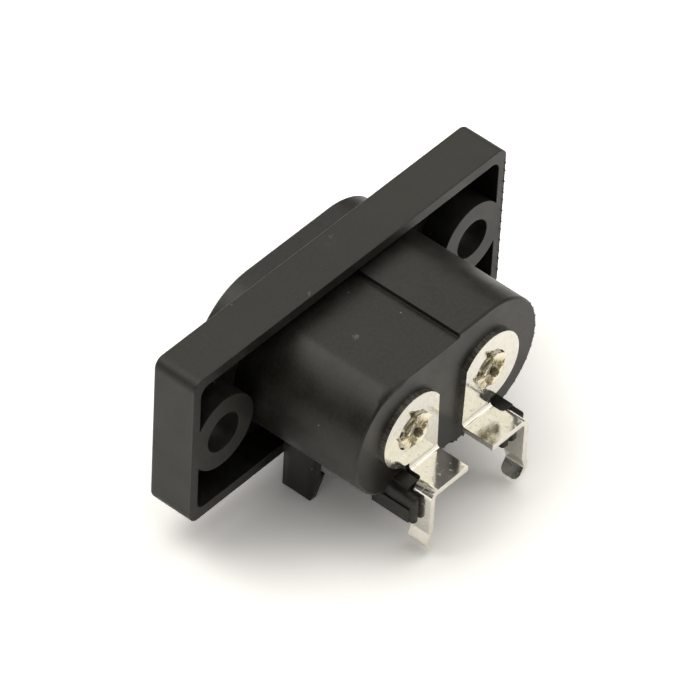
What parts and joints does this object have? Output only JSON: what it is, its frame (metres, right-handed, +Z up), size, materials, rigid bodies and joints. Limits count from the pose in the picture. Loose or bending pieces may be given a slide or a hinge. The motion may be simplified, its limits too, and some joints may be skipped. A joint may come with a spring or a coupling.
{
  "type": "iec panel inlet",
  "caption": "Screw-flange appliance inlet with a figure-eight plug cavity, round contact pins, bent board terminals at the rear and barbed board pegs under the body.",
  "frame": {"origin": "centre of the flange's front face, midway between the screw holes, in the plane that seats on the panel", "axes": "+X along the flange, +Y from the panel to the rear of the body, +Z up, away from the board"},
  "size_m": [0.0348, 0.0196, 0.0177],
  "materials": {
    "black_moulding": "satin moulded, fine grain",
    "pin_metal": "plated brass, rolled",
    "terminal_metal": "bright tin plate over brass strip"
  },
  "bodies": {
    "root": {"housing": "black_moulding", "left_pin": "pin_metal", "right_pin": "pin_metal", "left_terminal": "terminal_metal", "right_terminal": "terminal_metal"}
  },
  "joints": []
}
